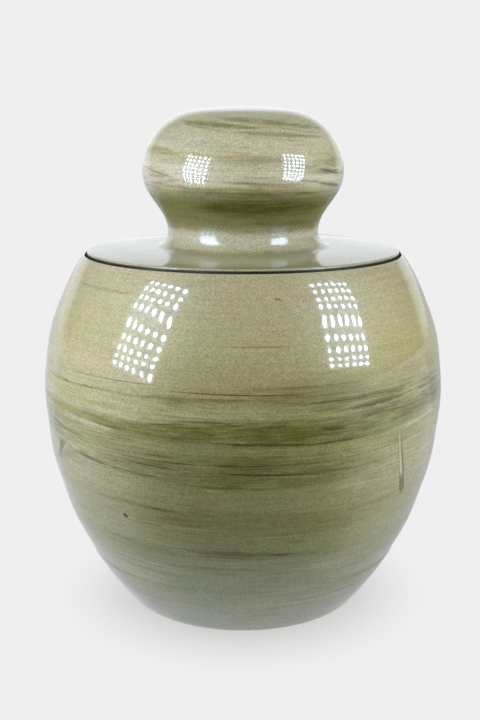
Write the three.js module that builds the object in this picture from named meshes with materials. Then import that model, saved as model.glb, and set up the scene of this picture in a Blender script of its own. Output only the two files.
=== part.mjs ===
// Stone jar with a lid, both turned on a lathe: a full-bellied body hollowed through its mouth, and a
// thick lid with a broad knob of the same stone, which drops into a seat cut inside the rim.
// Millimetres, +Z up. The origin is the centre of the flat foot, which stands on the ground.
import * as THREE from 'three';

// Outside of the body
const bellyRadius = 100;
const bellyHeight = 111.5;
const footRadius = 55.5; // flat face that the jar stands on
const footRound = 6.3;
const rimHeight = 177;
const rimRound = 0.5; // the rim is a thin edge between the flank and the lid seat

// Inside of the body
const wallThickness = 12;
const floorThickness = 14;
const floorRound = 18;

// Seat for the lid, cut into the rim
const seatDepth = 10.4;
const seatCornerRound = 0.8;
const ledgeWidth = 11;
const ledgeThickness = 9;
const mouthRound = 1.5;

// Lid plate
const lidRadius = 77.3;
const lidThickness = 12;
const lidClearance = 1; // all round, between the lid's edge and the wall of its seat
const seatGap = 0.3; // between the ledge and the lid that rests on it
const lidTopRound = 1.2;
const lidUnderRound = 1.6;
const lidRise = 1.5; // the top of the plate climbs this much from its edge to the neck

// Neck and knob, in one piece with the lid plate
const neckRadius = 37.2; // at its narrowest
const neckFlare = 7.1; // round from the top of the plate up to the narrowest place
const neckReach = 29.1; // from the narrowest place up to the widest one
const neckEase = 11.6; // how far the neck stays slim as it leaves the narrowest place
const knobRadius = 49.4;
const knobEase = 12.1; // how far the knob stays full as it draws in below its widest place
const knobShoulder = 29.8; // round from the widest place over to the crown
const crownRise = 1.3; // the crown is a shallow dome, this much above the shoulder

// Fineness of the facets
const turnFacets = 72;
const profileError = 0.08; // most that a facet of the outline may stand off its true curve
const easeFacets = 10;

const quarterTurn = Math.PI / 2;
const stoneColour = 0xa9a67e;

// Points of a profile are (radius, height) pairs.
const at = (radius, height) => new THREE.Vector2(radius, height);

// Points along an arc, from one angle to another. Angle 0 points away from the axis, a quarter turn up.
function arc(centre, radius, from, to) {
  const widestStep = 2 * Math.acos(1 - Math.min(profileError / radius, 0.5));
  const steps = Math.max(2, Math.ceil(Math.abs(to - from) / widestStep));
  const curve = new THREE.EllipseCurve(centre.x, centre.y, radius, radius, from, to, to < from);
  return curve.getPoints(steps);
}

// A long arc that starts upright at the belly and runs smoothly into the small round of an edge. Its
// centre lies at the belly's height, and the round touches it from inside, or if negative from outside.
function flank(belly, edge, edgeRound) {
  const inward = belly.x - edge.x;
  const along = edge.y - belly.y;
  const radius = (inward ** 2 + along ** 2 - edgeRound ** 2) / (2 * (inward - edgeRound));
  const centre = at(belly.x - radius, belly.y);
  return { centre, radius, meets: Math.atan2(along, edge.x - centre.x) };
}

// A turned piece: the profile goes round the axis, which stands upright in the part.
function turned(name, profile, colour) {
  const geometry = new THREE.LatheGeometry(profile, turnFacets).rotateX(quarterTurn);
  const material = new THREE.MeshStandardMaterial({ color: colour, roughness: 0.15, metalness: 0 });
  const mesh = new THREE.Mesh(geometry, material);
  mesh.name = name;
  return mesh;
}

// Heights, radii and arcs that the pieces share
const ledgeHeight = rimHeight - seatDepth;
const seatRadius = lidRadius + lidClearance;
const mouthRadius = seatRadius - ledgeWidth;
const belly = at(bellyRadius, bellyHeight);
const footEdge = at(footRadius, footRound);
const lowerFlank = flank(belly, footEdge, footRound);

// The outside, from the centre of the foot up to the rim.
function bodyOutside() {
  const rimEdge = at(seatRadius + rimRound, rimHeight - rimRound);
  const upperFlank = flank(belly, rimEdge, rimRound);
  return [
    at(0, 0),
    ...arc(footEdge, footRound, -quarterTurn, lowerFlank.meets),
    ...arc(lowerFlank.centre, lowerFlank.radius, lowerFlank.meets, 0).slice(1),
    ...arc(upperFlank.centre, upperFlank.radius, 0, upperFlank.meets).slice(1),
    ...arc(rimEdge, rimRound, upperFlank.meets, Math.PI).slice(1),
  ];
}

// The seat: down its wall, round its corner, across the ledge and down through the mouth.
function lidSeat() {
  const corner = at(seatRadius - seatCornerRound, ledgeHeight + seatCornerRound);
  const mouthTop = at(mouthRadius + mouthRound, ledgeHeight - mouthRound);
  return [
    ...arc(corner, seatCornerRound, 0, -quarterTurn),
    ...arc(mouthTop, mouthRound, quarterTurn, Math.PI),
  ];
}

// The hollow, from the lower edge of the mouth down to the middle of the floor. Its lower half keeps an
// even wall under the belly. Its upper half draws in to the mouth, so the shoulder is left thicker.
function hollow() {
  const mouthFoot = at(mouthRadius + mouthRound, ledgeHeight - ledgeThickness + mouthRound);
  const shoulder = flank(at(bellyRadius - wallThickness, bellyHeight), mouthFoot, -mouthRound);
  const innerRadius = lowerFlank.radius - wallThickness;
  const drop = bellyHeight - floorThickness - floorRound;
  const reach = Math.sqrt((innerRadius - floorRound) ** 2 - drop ** 2);
  const floorEdge = at(lowerFlank.centre.x + reach, floorThickness + floorRound);
  const floorMeets = -Math.atan2(drop, reach);
  return [
    ...arc(mouthFoot, mouthRound, Math.PI, shoulder.meets + Math.PI),
    ...arc(shoulder.centre, shoulder.radius, shoulder.meets, 0).slice(1),
    ...arc(lowerFlank.centre, innerRadius, 0, floorMeets).slice(1),
    ...arc(floorEdge, floorRound, floorMeets, -quarterTurn).slice(1),
    at(0, floorThickness),
  ];
}

// The lid and its knob, from the middle of the underside out, up and back to the top of the crown.
function lidProfile() {
  const underside = ledgeHeight + seatGap;
  const plateTop = underside + lidThickness;
  const underEdge = at(lidRadius - lidUnderRound, underside + lidUnderRound);
  const topEdge = at(lidRadius - lidTopRound, plateTop - lidTopRound);
  const flare = at(neckRadius + neckFlare, plateTop + lidRise + neckFlare);
  const slope = Math.atan2(lidRise, topEdge.x - flare.x);
  const knobHeight = flare.y + neckReach;
  const swell = new THREE.CubicBezierCurve(
    at(neckRadius, flare.y),
    at(neckRadius, flare.y + neckEase),
    at(knobRadius, knobHeight - knobEase),
    at(knobRadius, knobHeight),
  );
  const shoulder = at(knobRadius - knobShoulder, knobHeight);
  const crownHeight = knobHeight + knobShoulder + crownRise;
  const crownRadius = (crownRise + (shoulder.x ** 2) / crownRise) / 2 + knobShoulder;
  const crown = at(0, crownHeight - crownRadius);
  const crownMeets = Math.atan2(knobHeight - crown.y, shoulder.x);
  return [
    at(0, underside),
    ...arc(underEdge, lidUnderRound, -quarterTurn, 0),
    ...arc(topEdge, lidTopRound, 0, quarterTurn - slope),
    ...arc(flare, neckFlare, -quarterTurn - slope, -Math.PI),
    ...swell.getPoints(easeFacets).slice(1),
    ...arc(shoulder, knobShoulder, 0, crownMeets).slice(1),
    ...arc(crown, crownRadius, crownMeets, quarterTurn).slice(1, -1),
    at(0, crownHeight),
  ];
}

const jar = new THREE.Group();
jar.add(turned('jar_body', [...bodyOutside(), ...lidSeat(), ...hollow()], stoneColour));
jar.add(turned('lid', lidProfile(), stoneColour));

export default jar;
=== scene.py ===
"""Looks of a turned stone jar and its lid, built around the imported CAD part.

Metres, +Z up, the origin at the centre of the jar's flat foot. The camera stands on the -Y side.
In materials, lengths are millimetres, and an azimuth is counted in degrees from -Y towards +X.
The numbers of a ramp are where it starts and ends, and then what it gives there, or else 0 and 1.
"""
import math

import bpy
import numpy as np
from mathutils import Matrix, Vector

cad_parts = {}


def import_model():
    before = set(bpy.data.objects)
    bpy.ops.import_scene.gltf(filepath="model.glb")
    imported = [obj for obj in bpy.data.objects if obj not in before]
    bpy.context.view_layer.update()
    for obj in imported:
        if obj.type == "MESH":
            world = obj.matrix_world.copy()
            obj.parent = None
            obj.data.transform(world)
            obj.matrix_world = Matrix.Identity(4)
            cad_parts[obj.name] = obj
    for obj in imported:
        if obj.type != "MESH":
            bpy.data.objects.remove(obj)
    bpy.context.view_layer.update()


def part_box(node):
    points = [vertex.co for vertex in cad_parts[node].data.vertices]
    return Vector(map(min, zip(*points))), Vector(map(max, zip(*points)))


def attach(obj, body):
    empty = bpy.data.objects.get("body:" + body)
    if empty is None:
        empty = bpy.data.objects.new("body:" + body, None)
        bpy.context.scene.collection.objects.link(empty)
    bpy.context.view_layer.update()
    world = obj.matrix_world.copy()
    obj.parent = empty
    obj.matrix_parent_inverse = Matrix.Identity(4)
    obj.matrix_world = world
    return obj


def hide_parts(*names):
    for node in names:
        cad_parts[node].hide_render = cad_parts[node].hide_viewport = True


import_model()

MM = 0.001
QUARTER = math.pi / 2

# Sizes read from the frame
_, JAR_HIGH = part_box("jar_body")
LID_LOW, LID_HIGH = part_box("lid")
BELLY_RADIUS = JAR_HIGH.x
RIM_HEIGHT = JAR_HIGH.z
LID_RADIUS = LID_HIGH.x
LID_UNDERSIDE = LID_LOW.z
KNOB_TOP = LID_HIGH.z

# Sizes of the body
BELLY_HEIGHT = 111.5 * MM
FOOT_RADIUS = 55.5 * MM
FOOT_ROUND = 6.3 * MM
RIM_ROUND = 0.5 * MM
WALL = 12 * MM
FLOOR = 14 * MM
FLOOR_ROUND = 18 * MM
SEAT_DEPTH = 10.4 * MM
SEAT_CORNER_ROUND = 0.8 * MM
LEDGE_WIDTH = 11 * MM
LEDGE_THICKNESS = 9 * MM
MOUTH_ROUND = 1.5 * MM
LID_CLEARANCE = 1 * MM

# Sizes of the lid and its knob
LID_THICKNESS = 12 * MM
LID_TOP_ROUND = 1.2 * MM
LID_UNDER_ROUND = 1.6 * MM
LID_RISE = 1.5 * MM
NECK_RADIUS = 37.2 * MM
NECK_FLARE = 7.1 * MM
NECK_EASE = 11.6 * MM
KNOB_RADIUS = 49.4 * MM
KNOB_EASE = 12.1 * MM
KNOB_SHOULDER = 29.8 * MM
CROWN_RISE = 1.3 * MM

# Fineness of the meshes
COLUMNS = 240
OUTER_PITCH = 0.9 * MM
INNER_PITCH = 3 * MM
FINE_PITCH = 0.15 * MM
DOME_STEPS = 39
SAME_POINT = 1e-7

# Ripples left by turning, on the outside of the body: wavelength, depth and phase in turns
RIPPLES = ((31, 0.19, -0.02), (11.5, 0.012, 0.35), (6.2, 0.002, 0.8))
RIPPLE_LEAN = 0.35
RIPPLES_END_AT_RIM = 6 * MM
RIPPLES_END_AT_FOOT = 8 * MM


# Outlines, as lists of (radius, height) points

def arc(centre, radius, start, end, pitch):
    """Points along an arc. Angle 0 points away from the axis, a quarter turn points up."""
    steps = max(3, math.ceil(abs(end - start) * radius / pitch))
    angles = np.linspace(start, end, steps + 1)
    return [(centre[0] + radius * math.cos(a), centre[1] + radius * math.sin(a)) for a in angles]


def line(start, end, pitch):
    """Points along a straight stretch, both ends left out."""
    steps = max(2, math.ceil(math.dist(start, end) / pitch))
    shares = np.linspace(0, 1, steps + 1)[1:-1]
    return [tuple(np.array(start) * (1 - s) + np.array(end) * s) for s in shares]


def swell(points, pitch):
    """Points along a cubic curve, its first end left out."""
    p = np.array(points)
    steps = math.ceil(math.dist(points[0], points[3]) / pitch)
    t = np.linspace(0, 1, steps + 1)[1:, None]
    curve = (1 - t) ** 3 * p[0] + 3 * (1 - t) ** 2 * t * p[1] + 3 * (1 - t) * t**2 * p[2] + t**3 * p[3]
    return [tuple(q) for q in curve]


def flank(belly, edge, edge_round):
    """The long arc from the belly to the round of an edge: centre, radius, and angle where they meet."""
    inward, along = belly[0] - edge[0], edge[1] - belly[1]
    radius = (inward**2 + along**2 - edge_round**2) / (2 * (inward - edge_round))
    centre = (belly[0] - radius, belly[1])
    return centre, radius, math.atan2(along, edge[0] - centre[0])


def joined(*stretches):
    """One outline from several stretches, without the points that two of them share."""
    outline = []
    for stretch in stretches:
        for point in stretch:
            if not outline or math.dist(point, outline[-1]) > SAME_POINT:
                outline.append((float(point[0]), float(point[1])))
    return outline


LEDGE_HEIGHT = RIM_HEIGHT - SEAT_DEPTH
SEAT_RADIUS = LID_RADIUS + LID_CLEARANCE
MOUTH_RADIUS = SEAT_RADIUS - LEDGE_WIDTH
BELLY = (BELLY_RADIUS, BELLY_HEIGHT)
FOOT_EDGE = (FOOT_RADIUS, FOOT_ROUND)
LID_TOP = LID_UNDERSIDE + LID_THICKNESS


def body_outside():
    """From the centre of the foot up to the rim."""
    rim_edge = (SEAT_RADIUS + RIM_ROUND, RIM_HEIGHT - RIM_ROUND)
    low_centre, low_radius, low_meets = flank(BELLY, FOOT_EDGE, FOOT_ROUND)
    top_centre, top_radius, top_meets = flank(BELLY, rim_edge, RIM_ROUND)
    return joined(
        [(0, 0)],
        line((0, 0), (FOOT_RADIUS, 0), INNER_PITCH),
        arc(FOOT_EDGE, FOOT_ROUND, -QUARTER, low_meets, OUTER_PITCH / 2),
        arc(low_centre, low_radius, low_meets, 0, OUTER_PITCH),
        arc(top_centre, top_radius, 0, top_meets, OUTER_PITCH),
        arc(rim_edge, RIM_ROUND, top_meets, math.pi, FINE_PITCH),
    )


def body_inside():
    """From the rim down the seat, over the ledge, through the mouth, and down to the floor's middle."""
    corner = (SEAT_RADIUS - SEAT_CORNER_ROUND, LEDGE_HEIGHT + SEAT_CORNER_ROUND)
    mouth_top = (MOUTH_RADIUS + MOUTH_ROUND, LEDGE_HEIGHT - MOUTH_ROUND)
    mouth_foot = (MOUTH_RADIUS + MOUTH_ROUND, LEDGE_HEIGHT - LEDGE_THICKNESS + MOUTH_ROUND)
    inner_belly = (BELLY_RADIUS - WALL, BELLY_HEIGHT)
    centre, radius, meets = flank(inner_belly, mouth_foot, -MOUTH_ROUND)
    low_centre, low_radius, _ = flank(BELLY, FOOT_EDGE, FOOT_ROUND)
    low_radius -= WALL
    drop = BELLY_HEIGHT - FLOOR - FLOOR_ROUND
    reach = math.sqrt((low_radius - FLOOR_ROUND) ** 2 - drop**2)
    floor_edge = (low_centre[0] + reach, FLOOR + FLOOR_ROUND)
    floor_meets = -math.atan2(drop, reach)
    return joined(
        line((SEAT_RADIUS, RIM_HEIGHT - RIM_ROUND), (SEAT_RADIUS, corner[1]), OUTER_PITCH),
        arc(corner, SEAT_CORNER_ROUND, 0, -QUARTER, FINE_PITCH),
        line((corner[0], LEDGE_HEIGHT), (mouth_top[0], LEDGE_HEIGHT), OUTER_PITCH),
        arc(mouth_top, MOUTH_ROUND, QUARTER, math.pi, FINE_PITCH * 2),
        line((MOUTH_RADIUS, mouth_top[1]), (MOUTH_RADIUS, mouth_foot[1]), OUTER_PITCH),
        arc(mouth_foot, MOUTH_ROUND, math.pi, meets + math.pi, FINE_PITCH * 2),
        arc(centre, radius, meets, 0, INNER_PITCH),
        arc(low_centre, low_radius, 0, floor_meets, INNER_PITCH),
        arc(floor_edge, FLOOR_ROUND, floor_meets, -QUARTER, INNER_PITCH),
        line((floor_edge[0], FLOOR), (0, FLOOR), INNER_PITCH),
        [(0, FLOOR)],
    )


def lid_outline():
    """From the middle of the underside out, up the plate, the neck and the knob, to the top."""
    under_edge = (LID_RADIUS - LID_UNDER_ROUND, LID_UNDERSIDE + LID_UNDER_ROUND)
    top_edge = (LID_RADIUS - LID_TOP_ROUND, LID_TOP - LID_TOP_ROUND)
    flare = (NECK_RADIUS + NECK_FLARE, LID_TOP + LID_RISE + NECK_FLARE)
    slope = math.atan2(2 * LID_RISE, top_edge[0] - flare[0])
    knob_height = KNOB_TOP - CROWN_RISE - KNOB_SHOULDER
    neck_curve = [
        (NECK_RADIUS, flare[1]),
        (NECK_RADIUS, flare[1] + NECK_EASE),
        (KNOB_RADIUS, knob_height - KNOB_EASE),
        (KNOB_RADIUS, knob_height),
    ]
    shoulder = (KNOB_RADIUS - KNOB_SHOULDER, knob_height)
    crown_radius = (CROWN_RISE + shoulder[0] ** 2 / CROWN_RISE) / 2 + KNOB_SHOULDER
    crown = (0, KNOB_TOP - crown_radius)
    crown_meets = math.atan2(knob_height - crown[1], shoulder[0])
    plate = arc(top_edge, LID_TOP_ROUND, 0, QUARTER - slope, FINE_PITCH)
    neck = arc(flare, NECK_FLARE, -QUARTER, -math.pi, OUTER_PITCH / 2)
    inward = np.linspace(0, 1, DOME_STEPS + 1)[1:-1]
    reach, rise = plate[-1][0] - neck[0][0], neck[0][1] - plate[-1][1]
    dome = [(plate[-1][0] - reach * s, plate[-1][1] + rise * (2 * s - s**2)) for s in inward]
    return joined(
        [(0, LID_UNDERSIDE)],
        line((0, LID_UNDERSIDE), (under_edge[0], LID_UNDERSIDE), INNER_PITCH),
        arc(under_edge, LID_UNDER_ROUND, -QUARTER, 0, FINE_PITCH * 2),
        line((LID_RADIUS, under_edge[1]), (LID_RADIUS, top_edge[1]), OUTER_PITCH),
        plate,
        dome,
        neck,
        swell(neck_curve, OUTER_PITCH),
        arc(shoulder, KNOB_SHOULDER, 0, crown_meets, OUTER_PITCH),
        arc(crown, crown_radius, crown_meets, QUARTER, OUTER_PITCH)[:-1],
        [(0, KNOB_TOP)],
    )


# Turned meshes

def turned(name, outline, relief):
    """A closed mesh turned from an outline that starts and ends on the axis.

    relief(radius, height, azimuth) is how far the surface lies inside the outline, in metres.
    """
    ring = outline[1:-1]
    angles = np.arange(COLUMNS) * (2 * math.pi / COLUMNS)
    points = [(0, 0, outline[0][1])]
    for radius, height in ring:
        radii = radius - relief(radius, height, angles)
        points += [(r * math.sin(a), -r * math.cos(a), height) for r, a in zip(radii, angles)]
    points.append((0, 0, outline[-1][1]))
    after = [(k + 1) % COLUMNS for k in range(COLUMNS)]
    faces = [(0, 1 + after[k], 1 + k) for k in range(COLUMNS)]
    for row in range(len(ring) - 1):
        low = 1 + row * COLUMNS
        high = low + COLUMNS
        faces += [(low + k, low + after[k], high + after[k], high + k) for k in range(COLUMNS)]
    last, pole = 1 + (len(ring) - 1) * COLUMNS, len(points) - 1
    faces += [(pole, last + k, last + after[k]) for k in range(COLUMNS)]
    mesh = bpy.data.meshes.new(name)
    mesh.from_pydata(points, [], faces)
    mesh.polygons.foreach_set("use_smooth", [True] * len(mesh.polygons))
    piece = bpy.data.objects.new(name, mesh)
    bpy.context.scene.collection.objects.link(piece)
    return piece


def body_relief(radius, height, azimuth):
    """Shallow turning ripples on the outside, fading out towards the foot and the rim."""
    depth = np.zeros_like(azimuth)
    to_rim = RIM_HEIGHT - RIM_ROUND - height
    to_foot = height - FOOT_ROUND
    if radius <= SEAT_RADIUS + RIM_ROUND or to_rim <= 0 or to_foot <= 0:
        return depth
    for wavelength, swing, phase in RIPPLES:
        lean = RIPPLE_LEAN * np.sin(azimuth + wavelength)
        depth += swing * MM * (1 + np.cos(2 * math.pi * (height / MM / wavelength + phase) + lean))
    return depth * min(1, to_rim / RIPPLES_END_AT_RIM, to_foot / RIPPLES_END_AT_FOOT)


def lid_relief(radius, height, azimuth):
    """The lid is turned smooth."""
    return np.zeros_like(azimuth)


# Node trees

class Nodes:
    """Short ways to add nodes to a tree and link them up."""

    def __init__(self, tree):
        self.tree = tree

    def add(self, kind, **settings):
        """A new node with some of its settings."""
        node = self.tree.nodes.new(kind)
        for name, value in settings.items():
            setattr(node, name, value)
        return node

    def put(self, value, socket):
        """Links a socket to another node's output, or gives it a plain value."""
        if isinstance(value, bpy.types.NodeSocket):
            self.tree.links.new(value, socket)
        else:
            socket.default_value = value

    def maths(self, operation, *values):
        """The result of a Math node."""
        node = self.add("ShaderNodeMath", operation=operation)
        for socket, value in zip(node.inputs, values):
            self.put(value, socket)
        return node.outputs[0]

    def plus(self, one, other):
        return self.maths("ADD", one, other)

    def minus(self, one, other):
        return self.maths("SUBTRACT", one, other)

    def times(self, one, other):
        return self.maths("MULTIPLY", one, other)

    def positive(self, value):
        """The value, or 0 where it is negative."""
        return self.maths("MAXIMUM", value, 0.0)

    def size(self, value):
        """The value without its sign."""
        return self.maths("ABSOLUTE", value)

    def length(self, x, y):
        """The length of a vector in the plane."""
        return self.maths("SQRT", self.plus(self.times(x, x), self.times(y, y)))

    def share(self, value, low, high):
        """0 where the value is low, 1 where it is high, and straight on beyond both."""
        return self.maths("MULTIPLY_ADD", value, 1 / (high - low), -low / (high - low))

    def stretched(self, vector, x, y, z):
        """A vector with each part divided by its own length, so that noise is stretched along it."""
        node = self.add("ShaderNodeVectorMath", operation="MULTIPLY")
        self.put(vector, node.inputs[0])
        node.inputs[1].default_value = (1 / x, 1 / y, 1 / z)
        return node.outputs[0]

    def parts(self, vector):
        """The x, y and z of a vector."""
        node = self.add("ShaderNodeSeparateXYZ")
        self.put(vector, node.inputs[0])
        return node.outputs

    def noise(self, place, across, upward, detail, roughness):
        """Soft noise that swings from about -1 to 1. across and upward are its lengths."""
        node = self.add("ShaderNodeTexNoise")
        self.put(self.stretched(place, across, across, upward), node.inputs["Vector"])
        node.inputs["Scale"].default_value = 1
        node.inputs["Detail"].default_value = detail
        node.inputs["Roughness"].default_value = roughness
        return self.maths("MULTIPLY_ADD", node.outputs["Fac"], 4.0, -2.0)

    def ramp(self, value, low, high, start=0.0, end=1.0):
        """start where the value is low, end where it is high, and a smooth change between."""
        node = self.add("ShaderNodeMapRange", interpolation_type="SMOOTHSTEP")
        for socket, number in zip(node.inputs, (value, low, high, start, end)):
            self.put(number, socket)
        return node.outputs["Result"]

    def blended(self, share, low, high):
        """low where share is 0 and high where it is 1."""
        return self.maths("MULTIPLY_ADD", share, self.minus(high, low), low)

    def mixed(self, share, low, high):
        """The same for colours."""
        node = self.add("ShaderNodeMix", data_type="RGBA")
        self.put(share, node.inputs["Factor"])
        for value, socket in zip((low, high), (node.inputs[6], node.inputs[7])):
            self.put(value if isinstance(value, bpy.types.NodeSocket) else (*value, 1), socket)
        return node.outputs[2]


# Tones of the stone and of its lacquer. The seam tone is painted shade: the dark line round the plate of
# the lid, in the gap where it sits in the rim. The resin tone is also painted shade along the run of
# lacquer, and the cream tone is also its painted highlight.
SAND = (0.475, 0.44, 0.245)
SLATE = (0.33, 0.345, 0.25)
OLIVE = (0.165, 0.158, 0.028)
BARK = (0.10, 0.088, 0.008)
CHALK = (0.64, 0.615, 0.385)
OCHRE = (0.47, 0.42, 0.16)
CREAM_AND_HIGHLIGHT = (0.72, 0.69, 0.47)
RESIN_AND_SHADE = (0.17, 0.14, 0.02)
GAP_SHADE = (0.02, 0.021, 0.011)

# Stone and lacquer: how rough and how shiny, and how uneven the lacquer lies, in millimetres
STONE_ROUGHNESS = 0.45
STONE_SPECULAR = 0.15
LACQUER_IOR = 1.5
BODY_GLOSS = 0.03
LID_GLOSS = 0.008
BODY_PEEL = 0.01
LID_PEEL = 0.0005
PEEL_OF_GRAIN = 0.03

# Layers of noise in the stone: length across, length upward, octaves and roughness
LAYERS = {
    "wander": (46, 16, 2.0, 0.5),
    "jagged": (9, 4, 4.0, 0.65),
    "rings": (900, 0.8, 2.0, 0.6),
    "hairs": (26, 0.8, 3.0, 0.7),
    "strands": (11, 1.0, 3.0, 0.6),
    "brushed": (42, 1.9, 5.0, 0.62),
    "broad": (75, 6, 4.0, 0.6),
    "patches": (30, 11, 3.0, 0.5),
    "mottles": (4.5, 2.2, 4.0, 0.7),
    "grain": (0.85, 0.75, 2.0, 0.75),
    "specks": (1.6, 1.4, 1.0, 0.5),
    "peel": (9, 7, 2.0, 0.5),
}

# How much of each layer goes into something. A swing moves it up and down, in millimetres.
BEDS_SWING = {"wander": 0.9, "jagged": 0.55}
RAGGED_SWING = {"mottles": 0.6, "hairs": 0.3}
SMOOTH_SWING = {"hairs": 0.12}
BROKEN = {"strands": 0.7, "mottles": 0.25, "patches": 0.6}
DARK_BRUSH = {"brushed": 1.0, "patches": 0.6}
LIGHT_BRUSH = {"broad": 1.0, "brushed": -0.6}
TONE_OF_BRUSH = {"hairs": 0.20, "brushed": 0.15, "broad": 0.05}
TONE = {"rings": 0.04, "patches": 0.03, "mottles": 0.085, "grain": 0.36}
HUE = {"patches": 0.05, "broad": 0.03, "mottles": 0.025, "grain": 0.02}

# How a turn of hue changes red, green and blue
HUE_TURN = (1.0, -0.35, 0.3)

# Ramps of the layers
BROKEN_RAMP = (-0.9, 0.6, 0.2, 1.3)
DARK_RAMP = (0.1, 0.95, 0.0, 0.75)
LIGHT_RAMP = (0.1, 1.0, 0.0, 0.5)
PALE_SPECKS = (1.15, 1.35, 0.0, 0.8)
DARK_SPECKS = (-1.2, -1.4, 0.0, 0.7)

# How softly a streak fades in from its edge, as a share of half its width
STREAK_EDGE = 0.8

# Heights between which the stone is brushed most, how much more it is there, and how much anywhere
BODY_BELT = (88, 126)
LID_BELT = (208, 220)
BELT_EDGE = 8
BELT_STIR = 0.6
STIR_RAMP = (118, 132, 0.58, 0.27)

# Beds of the body, as height and tone
BODY_BEDS = (
    (0, SLATE), (8, (0.325, 0.335, 0.23)), (18, (0.34, 0.345, 0.22)), (30, (0.345, 0.365, 0.20)),
    (40, (0.355, 0.375, 0.18)), (50, (0.365, 0.395, 0.175)), (58, (0.455, 0.465, 0.225)),
    (68, (0.455, 0.44, 0.195)), (80, (0.425, 0.42, 0.185)), (88, (0.43, 0.425, 0.185)),
    (95, (0.45, 0.435, 0.19)), (103, (0.41, 0.395, 0.15)), (109, (0.375, 0.36, 0.115)),
    (114, (0.39, 0.37, 0.12)), (119, (0.495, 0.465, 0.195)), (127, (0.505, 0.47, 0.20)),
    (134, (0.51, 0.48, 0.21)), (145, (0.535, 0.50, 0.225)), (160, (0.545, 0.51, 0.25)),
    (177, (0.545, 0.505, 0.265)),
)

# Streaks of the body: azimuth and height of one end, the same of the other end, width and strength
BODY_THIN = (
    (-20, 128.8, 17, 127.8, 0.9, 0.8), (-60, 130.2, -10, 131.0, 0.8, 0.5),
    (5, 131.2, 34, 130.8, 0.8, 0.4), (-26, 113.4, -12, 115.6, 1.2, 0.7), (-14, 115.4, 6, 115.2, 1.1, 0.7),
    (-2, 116.0, 13, 116.8, 1.3, 0.8), (-9, 107.4, 6, 106.4, 1.6, 1.0), (2, 106.6, 16, 106.2, 1.6, 0.9),
    (14, 105.6, 36, 106.6, 1.2, 0.8), (19, 112.7, 27, 111.3, 3.2, 1.0), (29, 119.6, 48, 121.2, 1.9, 0.7),
    (44, 121.8, 62, 121.2, 1.6, 0.6), (-36, 97.5, 12, 96.9, 1.0, 0.8), (0, 97.0, 24, 97.2, 1.0, 0.6),
    (20, 97.4, 62, 100.6, 0.9, 0.6), (-40, 96.2, -16, 93.8, 1.7, 0.6), (-6, 93.4, 20, 92.2, 1.3, 1.0),
    (16, 92.2, 46, 93.8, 0.8, 0.5), (-38, 75.6, -16, 73.2, 1.1, 0.6), (-12, 72.9, -6, 72.6, 0.9, 0.9),
    (-62, 62.0, -44, 60.8, 1.1, 0.55), (4, 52.4, 21, 51.4, 1.2, 0.6),
    (-35.7, 66.8, -33.9, 66.4, 3.0, 2.5), (8.8, 167.2, 11.4, 166.4, 1.3, 0.9),
    (-16, 51.4, 12, 49.6, 1.1, 0.5), (-10, 148.2, 18, 147.8, 0.7, 0.45),
    (-70, 124.0, -40, 125.4, 1.5, 0.6), (-70, 103.8, -50, 101.0, 1.2, 0.7),
    (-14, 101.6, 24, 101.2, 0.8, 0.4), (30, 88.4, 60, 90.0, 0.8, 0.35),
    (-50, 113.4, -30, 111.6, 1.1, 0.25), (-56, 93.4, -40, 91.0, 1.4, 0.5),
    (-46, 91.4, -18, 89.0, 1.2, 0.4), (14, 123.6, 34, 124.2, 1.4, 0.5),
    (-44, 110.4, -30, 109.0, 1.0, 0.45),
)
BODY_SOFT = (
    (-40, 110.8, 52, 111.8, 18.0, 0.72), (12, 112.0, 82, 117.0, 19.0, 0.85),
    (24, 120.0, 90, 122.0, 44.0, 0.4), (0, 125.0, 40, 127.0, 26.0, 0.4),
    (-76, 101.4, -44, 99.0, 8.0, 0.4), (-44, 94.0, 42, 93.0, 27.0, 0.52),
    (-34, 66.0, 36, 66.0, 36.0, 0.26), (-27, 112.4, 0, 114.4, 4.6, 0.85),
    (-10, 113.6, 14, 114.8, 4.2, 0.85), (-8, 107.4, 18, 106.4, 2.8, 0.9),
    (4, 108.8, 42, 109.8, 6.4, 0.95), (8, 105.4, 44, 107.4, 3.0, 0.8), (-52, 113.6, -26, 111.2, 2.6, 0.2),
    (-46, 110.6, -22, 108.4, 2.0, 0.5), (10, 123.9, 74, 124.6, 5.0, 0.8),
    (24, 119.6, 54, 121.8, 4.6, 0.95), (-32, 115.8, 36, 116.6, 3.4, 0.8),
    (46, 120.4, 72, 122.6, 5.4, 0.8), (22, 113.4, 72, 118.4, 5.0, 0.75),
    (20, 110.0, 66, 112.4, 4.0, 0.55), (-50, 125.2, 22, 126.0, 3.0, 0.5),
    (-72, 123.8, -42, 125.2, 2.8, 0.7), (-70, 104.2, -44, 100.4, 2.6, 0.7),
    (-72, 97.8, -56, 97.0, 2.0, 0.6), (-66, 84.4, -45, 94.6, 8.0, 0.4), (-58, 93.0, -12, 88.2, 3.4, 0.6),
    (-30, 90.0, -4, 86.2, 2.0, 0.5), (-16, 87.6, 18, 85.2, 5.0, 0.6), (-44, 74.6, -10, 72.4, 2.8, 0.45),
    (-20, 54.0, 26, 51.0, 5.0, 0.6), (-56, 56.0, -14, 50.0, 4.0, 0.35),
    (-66, 167.4, -34, 167.0, 2.4, 0.4), (-20, 45.0, 10, 43.4, 2.4, 0.4),
    (-45, 38.4, -18, 36.8, 2.2, 0.35), (95, 112.0, 175, 109.0, 10.0, 0.7),
    (-178, 110.0, -100, 114.0, 8.0, 0.6), (80, 92.0, 160, 95.0, 4.0, 0.5),
    (-170, 92.0, -90, 89.0, 5.0, 0.5), (85, 54.0, 170, 51.0, 5.0, 0.45),
    (-165, 50.0, -80, 54.0, 4.0, 0.4), (90, 128.0, 150, 126.0, 3.0, 0.5),
)
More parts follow.
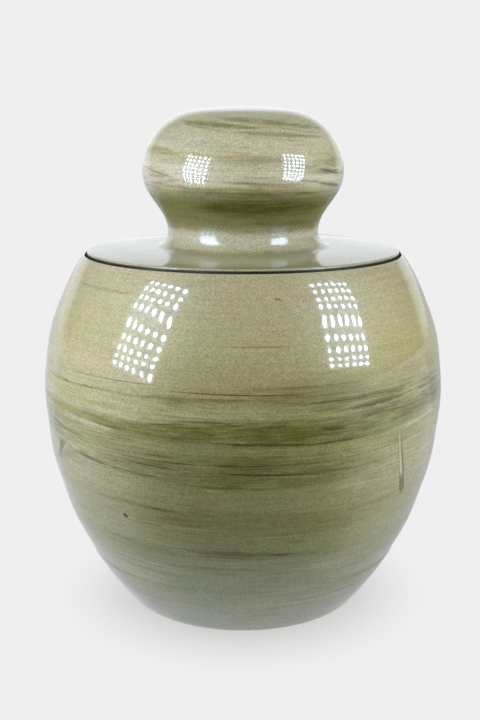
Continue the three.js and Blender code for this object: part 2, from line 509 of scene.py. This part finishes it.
BODY_PALE = (
    (-48, 121.2, -20, 120.0, 2.4, 0.6), (-22, 119.4, 12, 118.2, 2.6, 0.65),
    (36, 105.0, 68, 108.8, 2.8, 0.8), (48, 112.6, 68, 114.6, 1.6, 0.6),
    (-72, 110.0, -34, 108.4, 5.0, 0.6), (-72, 115.0, -26, 117.0, 5.0, 0.5),
    (22, 86.0, 84, 87.0, 36.0, 0.34), (-80, 88.0, -28, 84.0, 30.0, 0.3),
    (-76, 134.0, -24, 130.0, 34.0, 0.35), (-9.6, 85.3, -7.0, 84.9, 1.3, 1.0),
    (-44, 66.6, 0, 64.8, 1.4, 0.55), (-12, 61.8, 44, 61.2, 1.6, 0.55), (-34, 56.6, -10, 54.0, 1.4, 0.5),
    (-50, 43.4, -16, 41.8, 1.5, 0.5), (18, 41.8, 36, 43.0, 1.5, 0.5), (-40, 103.0, -6, 103.6, 1.4, 0.35),
    (20, 43.0, 86, 45.0, 46.0, 0.28), (-84, 37.0, -22, 35.0, 34.0, 0.25),
    (36, 127.8, 66, 129.6, 2.4, 0.4),
)
SCRATCHES = (
    (-57, 95.8, -49, 93.4, 0.8, 0.9), (-55, 94.0, -50, 92.4, 0.6, 0.8), (-53, 99.6, -45, 97.4, 0.7, 0.7),
    (-60, 103.4, -50, 101.4, 0.7, 0.6), (-58, 99.2, -52, 96.8, 0.6, 0.6),
    (-64, 96.4, -56, 96.0, 0.6, 0.5),
)

# A run of lacquer down the right side, in millimetres and degrees
RUN_TOP = 106.3
RUN_LENGTH = 35.3
RUN_AZIMUTH = 44.7
RUN_LEAN = 4.2
RUN_BEND = 1.8
RUN_RISE = 0.12
RUN_SHADE_ASIDE = 0.45
RUN_SHADE_OUT = (-0.7, -0.2)
RUN_HIGHLIGHT_IN = (0.3, 0.6)

# Its half width, its tip, and where its dark edges, pale core and dark tail are, by share of its length.
# The dark edges and tail are painted shade along one side of the raised bead, and the pale core is a
# painted highlight down its middle.
RUN_HALF_WIDTH = (0.0, 0.75, 0.75, 1.6)
RUN_TIP = (0.9, 1.0, 1.0, 0.0)
RUN_SHADE_STARTS = (0.05, 0.4)
RUN_HIGHLIGHT_STARTS = (0.0, 0.15)
RUN_HIGHLIGHT_ENDS = (0.62, 0.76, 1.0, 0.0)
RUN_TAIL_SHADE_STARTS = (0.66, 0.84)

# How strong the tints of those three are: painted shade on the edges, a painted highlight on the core, and
# painted shade on the tail
RUN_SHADE = 0.8
RUN_HIGHLIGHT = 0.85
RUN_TAIL_SHADE = 0.5

# A small three-cornered drop of lacquer at the left side, in millimetres and degrees
CHIP_TOP = 94.6
CHIP_HEIGHT = 12
CHIP_AZIMUTH = -59.5
CHIP_LEAN = 5
CHIP_REACH = 2.8
CHIP_EDGE = (0.0, 0.8)
CHIP_STARTS = (0.0, 0.1)
CHIP_SHADE = 0.8
CHIP_RISE = 0.048

# Beds and streaks of the lid. The chalk bed at 178.4 mm, on the plate's rounded top edge, is a painted
# highlight.
LID_BEDS = (
    # From 176 to 177.9 mm the seam tone is painted shade of the gap between the plate and the rim.
    (165, SAND), (175.2, SAND), (176, GAP_SHADE), (177.9, GAP_SHADE), (178.4, CHALK), (179.0, (0.30, 0.295, 0.12)),
    (180.4, (0.36, 0.35, 0.165)), (182, (0.63, 0.60, 0.35)), (187, (0.76, 0.72, 0.48)),
    # From 191.3 to 206.5 mm the beds darken the neck under the knob: darker stone and painted shade of the
    # knob's overhang.
    (189.5, (0.66, 0.63, 0.385)), (191.3, (0.36, 0.34, 0.165)), (194, (0.285, 0.27, 0.105)),
    (197, (0.26, 0.245, 0.085)), (204, (0.25, 0.235, 0.075)), (206.5, (0.30, 0.285, 0.11)),
    (209, (0.45, 0.43, 0.20)), (212, (0.72, 0.69, 0.395)), (216, (0.83, 0.80, 0.52)),
    (223, (0.86, 0.81, 0.53)), (226, (0.80, 0.74, 0.42)), (231, (0.83, 0.79, 0.48)),
    (234, (0.77, 0.74, 0.44)), (238, (0.66, 0.65, 0.33)), (243, (0.58, 0.57, 0.25)),
    (248, (0.50, 0.50, 0.245)),
)
LID_THIN = (
    (30, 215.0, 50, 213.0, 1.8, 0.8), (42, 213.6, 72, 210.6, 3.2, 0.9), (46, 219.4, 68, 216.4, 1.8, 0.7),
    (50, 222.4, 64, 219.8, 1.2, 0.5), (-72, 219.8, -40, 215.8, 1.1, 0.6),
    (-46, 239.8, -10, 236.4, 1.3, 0.35), (-20, 207.6, 34, 207.0, 1.3, 0.45),
    (-4, 208.8, 22, 208.2, 1.0, 0.45), (4, 234.2, 44, 231.6, 1.0, 0.3), (18, 238.6, 58, 235.0, 1.1, 0.3),
    # The wide dark streak at 202 mm and the one at 195 mm darken the front of the neck under the knob:
    # darker stone and painted shade of the knob's overhang.
    (-36, 202.4, 60, 201.6, 14.0, 0.75), (0, 194.8, 56, 194.2, 4.0, 0.45),
    (-30, 229.0, 10, 226.6, 0.9, 0.35),
)
LID_SOFT = (
    (-54, 241.2, 12, 237.8, 3.4, 0.7), (-24, 243.0, 66, 237.4, 3.6, 0.6),
    (-8, 236.2, 60, 233.6, 3.0, 0.55), (26, 219.6, 74, 216.8, 5.0, 0.65),
    (-50, 209.4, 66, 208.4, 3.0, 0.5), (-66, 213.0, -20, 210.6, 2.4, 0.35),
    (120, 226.0, 175, 224.0, 4.0, 0.6), (-175, 222.0, -95, 227.0, 3.4, 0.5),
    (80, 236.0, 150, 239.0, 3.0, 0.5), (-160, 240.0, -80, 236.0, 3.0, 0.5),
    (70, 213.0, 160, 210.0, 3.0, 0.6), (-170, 211.0, -90, 213.5, 3.0, 0.6),
)
LID_PALE = (
    (-70, 234.4, 4, 229.4, 4.6, 0.95), (-58, 231.4, -4, 228.6, 2.6, 0.7),
    (-60, 222.8, 36, 221.8, 6.0, 0.5), (-74, 225.6, -24, 224.0, 2.4, 0.5),
    (36, 226.8, 76, 225.2, 2.6, 0.45), (95, 232.0, 170, 230.5, 3.6, 0.6),
    (-175, 233.0, -110, 230.0, 3.4, 0.6),
)

# Heights over the painted gap shade where the beds start to swing and the lacquer starts. The lacquer
# turns dull on the neck and shiny again on the knob.
SWING_STARTS = (178.2, 182.0)
LACQUER_STARTS = (177.8, 178.5)
LACQUER_DULLS = (189, 196, 1.0, 0.4)
LACQUER_SHINES = (206, 210, 0.0, 0.6)

# An ochre band through the knob, which leans down towards +X. Its ramp goes by the distance from it.
OCHRE_HEIGHT = 224.4
OCHRE_LEAN = 0.055
OCHRE_SWING = {"wander": 1.8}
OCHRE_RAMP = (3.0, 0.8, 0.0, 0.6)


class Stone(Nodes):
    """The material of banded, grainy stone under clear lacquer. Its colour is built up step by step."""

    def __init__(self, name, belt, gloss):
        """belt is the range of height of the belt, and gloss is how rough the lacquer is."""
        self.material = bpy.data.materials.new(name)
        self.material.use_nodes = True
        super().__init__(self.material.node_tree)
        self.shader = self.tree.nodes["Principled BSDF"]
        self.shader.inputs["Roughness"].default_value = STONE_ROUGHNESS
        self.shader.inputs["Specular IOR Level"].default_value = STONE_SPECULAR
        self.shader.inputs["Coat Weight"].default_value = 1.0
        self.shader.inputs["Coat Roughness"].default_value = gloss
        self.shader.inputs["Coat IOR"].default_value = LACQUER_IOR
        place = self.stretched(self.add("ShaderNodeTexCoord").outputs["Object"], MM, MM, MM)
        self.x, y, self.z = self.parts(place)
        self.azimuth = self.maths("DEGREES", self.maths("ARCTAN2", self.x, self.times(y, -1.0)))
        self.layers = {layer: self.noise(place, *sizes) for layer, sizes in LAYERS.items()}
        self.broken = self.ramp(self.weighted(BROKEN), *BROKEN_RAMP)
        starts = self.ramp(self.z, belt[0] - BELT_EDGE, belt[0])
        ends = self.ramp(self.z, belt[1], belt[1] + BELT_EDGE, 0.0, -1.0)
        self.stir = self.plus(self.times(self.plus(starts, ends), BELT_STIR), self.ramp(self.z, *STIR_RAMP))
        self.colour = None

    def weighted(self, shares):
        """The sum of some layers, each times its own share."""
        total = 0.0
        for layer, share in shares.items():
            total = self.maths("MULTIPLY_ADD", self.layers[layer], share, total)
        return total

    def tint(self, share, tone):
        """Mixes a share of a tone into the colour."""
        self.colour = self.mixed(share, self.colour, tone)

    def lay_beds(self, rows, swing):
        """Starts the colour with the tones of the beds. swing is how much of their swing there is."""
        height = self.plus(self.z, self.times(self.weighted(BEDS_SWING), swing))
        low, high = rows[0][0], rows[-1][0]
        node = self.add("ShaderNodeValToRGB")
        elements = node.color_ramp.elements
        while len(elements) < len(rows):
            elements.new(0.5)
        for element, (level, tone) in zip(elements, rows):
            element.position = (level - low) / (high - low)
            element.color = (*tone, 1)
        self.put(self.share(height, low, high), node.inputs[0])
        self.colour = node.outputs["Color"]

    def streaks(self, height, rows):
        """How strongly any of the streaks of a list shows: each is pointed at both ends."""
        strongest = 0.0
        for start, start_height, end, end_height, width, strength in rows:
            along = self.share(self.azimuth, start, end)
            middle = self.maths("MULTIPLY_ADD", along, end_height - start_height, start_height)
            off = self.size(self.times(self.minus(height, middle), 2 / width))
            taper = self.times(self.times(along, self.minus(1.0, along)), 4.0)
            taper = self.maths("SQRT", self.positive(taper))
            shows = self.ramp(self.minus(taper, off), 0.0, STREAK_EDGE, 0.0, strength)
            strongest = self.maths("MAXIMUM", shows, strongest)
        return strongest

    def draw_streaks(self, rows, swing, tone):
        """Draws the streaks of a list. They swing up and down, and break up along their length."""
        height = self.plus(self.z, self.weighted(swing))
        self.tint(self.times(self.streaks(height, rows), self.broken), tone)

    def brush(self, pale, soft, thin):
        """Brushed bands, and the streaks over them."""
        self.tint(self.times(self.ramp(self.weighted(DARK_BRUSH), *DARK_RAMP), self.stir), OLIVE)
        self.tint(self.times(self.ramp(self.weighted(LIGHT_BRUSH), *LIGHT_RAMP), self.stir), CHALK)
        self.draw_streaks(pale, RAGGED_SWING, CHALK)
        self.draw_streaks(soft, RAGGED_SWING, OLIVE)
        self.draw_streaks(thin, SMOOTH_SWING, BARK)

    def roughen(self):
        """Makes the colour lighter and darker from place to place, and turns it towards pink or green."""
        tone = self.plus(self.times(self.weighted(TONE_OF_BRUSH), self.stir), self.weighted(TONE))
        scale = self.add("ShaderNodeVectorMath", operation="SCALE")
        self.put(self.colour, scale.inputs[0])
        self.put(self.plus(tone, 1.0), scale.inputs["Scale"])
        hue = self.weighted(HUE)
        swing = self.add("ShaderNodeCombineXYZ")
        for socket, share in zip(swing.inputs, HUE_TURN):
            self.put(self.maths("MULTIPLY_ADD", hue, share, 1.0), socket)
        turn = self.add("ShaderNodeVectorMath", operation="MULTIPLY")
        self.put(scale.outputs[0], turn.inputs[0])
        self.put(swing.outputs[0], turn.inputs[1])
        self.colour = turn.outputs[0]

    def speckle(self):
        """Small pale and dark specks."""
        self.tint(self.ramp(self.layers["specks"], *PALE_SPECKS), CHALK)
        self.tint(self.ramp(self.layers["specks"], *DARK_SPECKS), BARK)

    def finish(self, peel, relief=0.0):
        """Links up the colour and the uneven lacquer. relief is what stands up on it, in millimetres."""
        self.put(self.colour, self.shader.inputs["Base Color"])
        uneven = self.plus(self.weighted({"peel": peel, "grain": peel * PEEL_OF_GRAIN}), relief)
        bump = self.add("ShaderNodeBump")
        bump.inputs["Distance"].default_value = MM
        self.put(uneven, bump.inputs["Height"])
        self.put(bump.outputs["Normal"], self.shader.inputs["Coat Normal"])
        return self.material


def lacquer_run(stone):
    """Draws the run of lacquer, with painted shade on its dark edges and tail and a painted highlight on
    its pale core, and gives its relief.
    """
    fallen = stone.share(stone.z, RUN_TOP, RUN_TOP - RUN_LENGTH)
    lean = stone.plus(stone.times(fallen, RUN_LEAN), stone.times(stone.times(fallen, fallen), RUN_BEND))
    degrees_aside = stone.minus(stone.azimuth, stone.plus(lean, RUN_AZIMUTH))
    aside = stone.times(degrees_aside, math.radians(1) * BELLY_RADIUS / MM)
    half = stone.times(stone.ramp(fallen, *RUN_HALF_WIDTH), stone.ramp(fallen, *RUN_TIP))
    inside = stone.times(stone.maths("GREATER_THAN", fallen, 0.0), stone.maths("LESS_THAN", fallen, 1.0))
    depth = stone.times(stone.minus(half, stone.size(aside)), inside)
    from_shade = stone.size(stone.plus(aside, -RUN_SHADE_ASIDE))
    edge = stone.times(stone.ramp(stone.minus(half, from_shade), *RUN_SHADE_OUT), inside)
    along = stone.times(stone.ramp(fallen, *RUN_HIGHLIGHT_ENDS), stone.ramp(fallen, *RUN_HIGHLIGHT_STARTS))
    core_highlight = stone.times(stone.ramp(depth, *RUN_HIGHLIGHT_IN), along)
    tail_shade = stone.times(edge, stone.ramp(fallen, *RUN_TAIL_SHADE_STARTS))
    shade = stone.times(edge, stone.ramp(fallen, *RUN_SHADE_STARTS))
    # Painted shade along one side of the bead and at its lower end, and a painted highlight down its middle
    stone.tint(stone.times(shade, RUN_SHADE), RESIN_AND_SHADE)
    stone.tint(stone.times(core_highlight, RUN_HIGHLIGHT), CREAM_AND_HIGHLIGHT)
    stone.tint(stone.times(tail_shade, RUN_TAIL_SHADE), RESIN_AND_SHADE)
    return stone.times(stone.maths("SQRT", stone.positive(depth)), RUN_RISE)


def lacquer_chip(stone):
    """Draws the small three-cornered drop, and gives its relief."""
    down = stone.share(stone.z, CHIP_TOP, CHIP_TOP - CHIP_HEIGHT)
    middle = stone.maths("MULTIPLY_ADD", down, -CHIP_LEAN, CHIP_AZIMUTH)
    aside = stone.size(stone.minus(stone.azimuth, middle))
    reach = stone.times(stone.minus(1.0, down), CHIP_REACH)
    chip = stone.times(stone.ramp(stone.minus(reach, aside), *CHIP_EDGE), stone.ramp(down, *CHIP_STARTS))
    stone.tint(stone.times(chip, CHIP_SHADE), RESIN_AND_SHADE)
    return stone.times(chip, CHIP_RISE)


def ochre_band(stone):
    """Draws the leaning ochre band of the knob."""
    leaning = stone.plus(stone.z, stone.times(stone.x, OCHRE_LEAN))
    off = stone.size(stone.minus(stone.plus(leaning, stone.weighted(OCHRE_SWING)), OCHRE_HEIGHT))
    stone.tint(stone.times(stone.ramp(off, *OCHRE_RAMP), stone.broken), OCHRE)


def lid_lacquer(stone):
    """Lets the lacquer of the lid differ by height."""
    weight = stone.plus(stone.ramp(stone.z, *LACQUER_DULLS), stone.ramp(stone.z, *LACQUER_SHINES))
    weight = stone.times(weight, stone.ramp(stone.z, *LACQUER_STARTS))
    stone.put(weight, stone.shader.inputs["Coat Weight"])


def body_stone():
    """The stone of the body."""
    stone = Stone("body_stone", BODY_BELT, BODY_GLOSS)
    stone.lay_beds(BODY_BEDS, 1.0)
    stone.brush(BODY_PALE, BODY_SOFT, BODY_THIN)
    stone.roughen()
    relief = stone.plus(lacquer_run(stone), lacquer_chip(stone))
    stone.tint(stone.streaks(stone.z, SCRATCHES), CREAM_AND_HIGHLIGHT)
    stone.speckle()
    return stone.finish(BODY_PEEL, relief)


def lid_stone():
    """The stone of the lid."""
    stone = Stone("lid_stone", LID_BELT, LID_GLOSS)
    stone.lay_beds(LID_BEDS, stone.ramp(stone.z, *SWING_STARTS))
    ochre_band(stone)
    stone.brush(LID_PALE, LID_SOFT, LID_THIN)
    stone.roughen()
    stone.speckle()
    lid_lacquer(stone)
    return stone.finish(LID_PEEL)


# The camera, for a photograph of this many pixels, with the jar's axis at this column of it
PHOTO_WIDTH, PHOTO_HEIGHT = 480, 720
AXIS_PIXEL_X = 243
FOCAL_PIXELS = 1104.3
SENSOR = 36
CAMERA_DISTANCE = 550 * MM
CAMERA_HEIGHT = 245.2 * MM
CAMERA_PITCH = math.radians(12.67)

# Two panels of bright dots: centre of the dots in millimetres, and directions of width and height. The
# soft light of each is a lamp that hangs some millimetres lower.
PANELS = {
    "left": {
        "centre": (-174.2, -142.2, 228.0), "across": (89, -71, -17), "up": (43, 16, 163),
        "lower": 45, "power": 0.205, "tint": (0.985, 0.99, 1.26),
    },
    "right": {
        "centre": (197.5, -142.5, 244.5), "across": (87, 74, -12), "up": (-21, 51, 160),
        "lower": 100, "power": 0.178, "tint": (1.01, 0.99, 1.04),
    },
}
PANEL_WIDTH = 115 * MM
PANEL_HEIGHT = 186 * MM

# The dots of a panel, with a radius as a share of the distance between them
LED_COLUMNS = 6
LED_ROWS = 9
LED_RADIUS = 0.31
LED_FALLOFF = 2.0
LED_GLARE = 85
LED_HAZE = 2.0
LED_TINT = (0.8, 1.0, 1.45)

# The soft light above the camera
FRONT_CENTRE = (0, -480, 330)
FRONT_UP = (0, 0.42, 0.91)
FRONT_SCALE = 1.6
FRONT_POWER = 0.15
FRONT_TINT = (1.03, 1.0, 0.78)

# The paper under the jar: its brightness far off, its tone and glow near the jar, and where it changes
PAPER = 0.863
PAPER_TONE = (0.61, 0.602, 0.60)
PAPER_GLOW = 0.467
PAPER_CHANGES = (0.05, 0.105)
PAPER_RADIUS = 15

# The backdrop and the room, as the jar reflects them
BACKDROP_GLOW = 1.0
BACKDROP_HALF_ANGLE = math.radians(49)
BACKDROP_EDGE = math.radians(7)
BACKDROP_NARROWS = 0.8
BACKDROP_NARROWS_ABOVE = 0.06
BACKDROP_MIDDLE = (math.cos(math.radians(28)), math.cos(math.radians(12)), 0.0, 0.2)
ROOM = (0.05, 0.8, 0.05, 0.65)
ROOM_TINT = (0.955, 0.98, 1.04)

# The table, as the jar reflects it: its glow from left to right, near and far off beside the backdrop
TABLE = (-0.02, 0.10, 0.75, 0.56)
TABLE_BESIDE = (-0.1, 0.1, 0.45, 0.9)
TABLE_TINT = (0.95, 0.985, 1.06)
TABLE_DARK = 0.04
TABLE_REACH = 0.115
TABLE_EDGE = (0.9, 1.15)
TABLE_SIDE_REACH = 0.55
TABLE_GAP = (math.cos(math.radians(62)), math.cos(math.radians(36)))
TABLE_HALF_ANGLE = math.radians(56)
TABLE_RADIUS = 14
TABLE_DROP = 1 * MM
DISC_SIDES = 96


def camera():
    """The camera, pitched down, with the jar's axis a little to the right of the middle."""
    data = bpy.data.cameras.new("camera")
    data.sensor_width = SENSOR
    data.lens = SENSOR * FOCAL_PIXELS / PHOTO_HEIGHT
    eye = bpy.data.objects.new("camera", data)
    side = (AXIS_PIXEL_X - PHOTO_WIDTH / 2) / FOCAL_PIXELS * CAMERA_DISTANCE
    eye.location = (-side, -CAMERA_DISTANCE, CAMERA_HEIGHT)
    eye.rotation_euler = (QUARTER - CAMERA_PITCH, 0, 0)
    bpy.context.scene.collection.objects.link(eye)
    bpy.context.scene.camera = eye


def soft_lamp(name, centre, across, up, power, tint, scale=1.0):
    """A lamp of a panel's shape, which lights the jar and shows in no reflection."""
    data = bpy.data.lights.new(name, "AREA")
    data.shape = "RECTANGLE"
    data.size, data.size_y = PANEL_WIDTH * scale, PANEL_HEIGHT * scale
    data.energy = power
    data.color = tint
    lamp = bpy.data.objects.new(name, data)
    back = across.cross(up)
    lamp.matrix_world = Matrix.Translation(centre) @ Matrix((across, up, back)).transposed().to_4x4()
    lamp.visible_camera = False
    lamp.visible_glossy = False
    lamp.light_linking.receiver_collection = lit_by_panels
    bpy.context.scene.collection.objects.link(lamp)


def dot_sheet(name, centre, across, up, material):
    """The rows of dots of one panel, which show only in reflections."""
    side, rise = across * PANEL_WIDTH / 2, up * PANEL_HEIGHT / 2
    corners = [centre - side - rise, centre - side + rise, centre + side + rise, centre + side - rise]
    mesh = bpy.data.meshes.new(name)
    mesh.from_pydata(corners, [], [(0, 1, 2, 3)])
    layer = mesh.uv_layers.new(name="dots")
    for loop, place in enumerate(((0, 0), (0, 1), (1, 1), (1, 0))):
        layer.data[loop].uv = place
    mesh.materials.append(material)
    sheet = bpy.data.objects.new(name, mesh)
    sheet.visible_camera = False
    sheet.visible_diffuse = False
    sheet.visible_shadow = False
    bpy.context.scene.collection.objects.link(sheet)


def glowing(name, tint):
    """A material that only glows: the material, its nodes, and the socket that takes the strength."""
    material = bpy.data.materials.new(name)
    material.use_nodes = True
    n = Nodes(material.node_tree)
    n.tree.nodes.remove(n.tree.nodes["Principled BSDF"])
    glow = n.add("ShaderNodeEmission")
    glow.inputs["Color"].default_value = (*tint, 1)
    n.put(glow.outputs[0], n.tree.nodes["Material Output"].inputs[0])
    return material, n, glow.inputs["Strength"]


def led_dots():
    """Rows of round bright dots, which glow less towards their edge, on a hazy sheet."""
    material, n, strength = glowing("led_dots", LED_TINT)
    across, up, _ = n.parts(n.add("ShaderNodeTexCoord").outputs["UV"])
    total = 0.0
    for place, count in ((across, LED_COLUMNS), (up, LED_ROWS)):
        off = n.minus(n.maths("FRACT", n.times(place, count)), 0.5)
        total = n.plus(n.times(off, off), total)
    lit = n.minus(1.0, n.times(total, 1 / LED_RADIUS**2))
    lit = n.maths("POWER", n.positive(lit), LED_FALLOFF)
    n.put(n.plus(n.times(lit, LED_GLARE), LED_HAZE), strength)
    return material


def panels():
    """The two panels, each a sheet of dots for the reflections and a lamp for the soft light."""
    material = led_dots()
    for side, panel in PANELS.items():
        centre = Vector(panel["centre"]) * MM
        across = Vector(panel["across"]).normalized()
        up = Vector(panel["up"])
        up = (up - across * across.dot(up)).normalized()
        lamp_centre = centre - up * panel["lower"] * MM
        soft_lamp(f"panel_glow_{side}", lamp_centre, across, up, panel["power"], panel["tint"])
        dot_sheet(f"panel_dots_{side}", centre, across, up, material)


def front_glow():
    """A weak soft light from above the camera."""
    centre = Vector(FRONT_CENTRE) * MM
    across = Vector((1, 0, 0))
    up = Vector(FRONT_UP).normalized()
    soft_lamp("front_glow", centre, across, up, FRONT_POWER, FRONT_TINT, FRONT_SCALE)


def disc(name, radius, height, material):
    """A flat round sheet of the studio."""
    bpy.ops.mesh.primitive_circle_add(
        vertices=DISC_SIDES, radius=radius, fill_type="NGON", location=(0, 0, height))
    sheet = bpy.context.object
    sheet.name = name
    sheet.data.materials.append(material)
    return sheet


def studio_paper():
    """Paper that takes shadows near the jar and turns into the flat tone of the backdrop further off."""
    material = bpy.data.materials.new("studio_paper")
    material.use_nodes = True
    shader = material.node_tree.nodes["Principled BSDF"]
    shader.inputs["Roughness"].default_value = 1.0
    shader.inputs["Specular IOR Level"].default_value = 0.0
    shader.inputs["Emission Color"].default_value = (1, 1, 1, 1)
    n = Nodes(material.node_tree)
    x, y, _ = n.parts(n.add("ShaderNodeTexCoord").outputs["Object"])
    near = n.ramp(n.length(x, y), *PAPER_CHANGES, 1.0, 0.0)
    n.put(n.mixed(near, (0, 0, 0), PAPER_TONE), shader.inputs["Base Color"])
    n.put(n.blended(near, PAPER, PAPER_GLOW), shader.inputs["Emission Strength"])
    return material


def floor():
    """The pale floor that the camera sees. The light that it would throw comes from the bounce sheet."""
    sheet = disc("floor", PAPER_RADIUS, 0, studio_paper())
    sheet.visible_diffuse = False
    sheet.visible_glossy = False


def bounce():
    """What the table throws back, unseen by the camera. The table ends a little in front of the jar."""
    material, n, strength = glowing("bounce", TABLE_TINT)
    x, y, _ = n.parts(n.add("ShaderNodeTexCoord").outputs["Object"])
    reach = n.length(x, y)
    back = n.maths("DIVIDE", y, reach)
    edge = [TABLE_REACH * share for share in TABLE_EDGE]
    gap = n.times(n.ramp(n.times(back, -1.0), *TABLE_GAP), n.ramp(reach, *edge))
    beside = n.maths("LESS_THAN", back, math.cos(TABLE_HALF_ANGLE))
    beside = n.times(beside, n.ramp(reach, TABLE_REACH, TABLE_SIDE_REACH))
    glow = n.blended(beside, n.ramp(x, *TABLE), n.ramp(x, *TABLE_BESIDE))
    n.put(n.blended(gap, glow, TABLE_DARK), strength)
    sheet = disc("bounce", TABLE_RADIUS, -TABLE_DROP, material)
    sheet.visible_camera = False
    sheet.visible_shadow = False


def world():
    """A bright backdrop behind the jar, a dim room with a paler ceiling, and flat paper for the camera."""
    sky = bpy.data.worlds.new("studio")
    bpy.context.scene.world = sky
    sky.use_nodes = True
    n = Nodes(sky.node_tree)
    x, y, z = n.parts(n.add("ShaderNodeTexCoord").outputs["Generated"])
    towards = n.maths("DIVIDE", y, n.length(x, y))
    above = n.maths("MULTIPLY_ADD", z, BACKDROP_NARROWS, -BACKDROP_NARROWS * BACKDROP_NARROWS_ABOVE)
    edges = [math.cos(BACKDROP_HALF_ANGLE + side * BACKDROP_EDGE) for side in (1, -1)]
    backdrop = n.ramp(n.minus(towards, n.positive(above)), *edges)
    glow = n.blended(backdrop, n.ramp(z, *ROOM), BACKDROP_GLOW)
    lit = n.tree.nodes["Background"]
    lit.inputs["Color"].default_value = (*ROOM_TINT, 1)
    n.put(n.plus(glow, n.ramp(towards, *BACKDROP_MIDDLE)), lit.inputs["Strength"])
    seen = n.add("ShaderNodeBackground")
    seen.inputs["Color"].default_value = (PAPER, PAPER, PAPER, 1)
    either = n.add("ShaderNodeMixShader")
    n.put(n.add("ShaderNodeLightPath").outputs["Is Camera Ray"], either.inputs[0])
    n.put(lit.outputs[0], either.inputs[1])
    n.put(seen.outputs[0], either.inputs[2])
    n.put(either.outputs[0], n.tree.nodes["World Output"].inputs[0])


# The studio
lit_by_panels = bpy.data.collections.new("lit_by_panels")
camera()
floor()
bounce()
world()
panels()
front_glow()
bpy.context.scene.view_settings.view_transform = "Standard"

# The jar and its lid
jar_body = turned("jar_body_stone", joined(body_outside(), body_inside()), body_relief)
jar_body.data.materials.append(body_stone())
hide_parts("jar_body")
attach(jar_body, "jar")
lit_by_panels.objects.link(jar_body)

lid = turned("lid_stone", lid_outline(), lid_relief)
lid.data.materials.append(lid_stone())
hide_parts("lid")
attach(lid, "lid")
lit_by_panels.objects.link(lid)
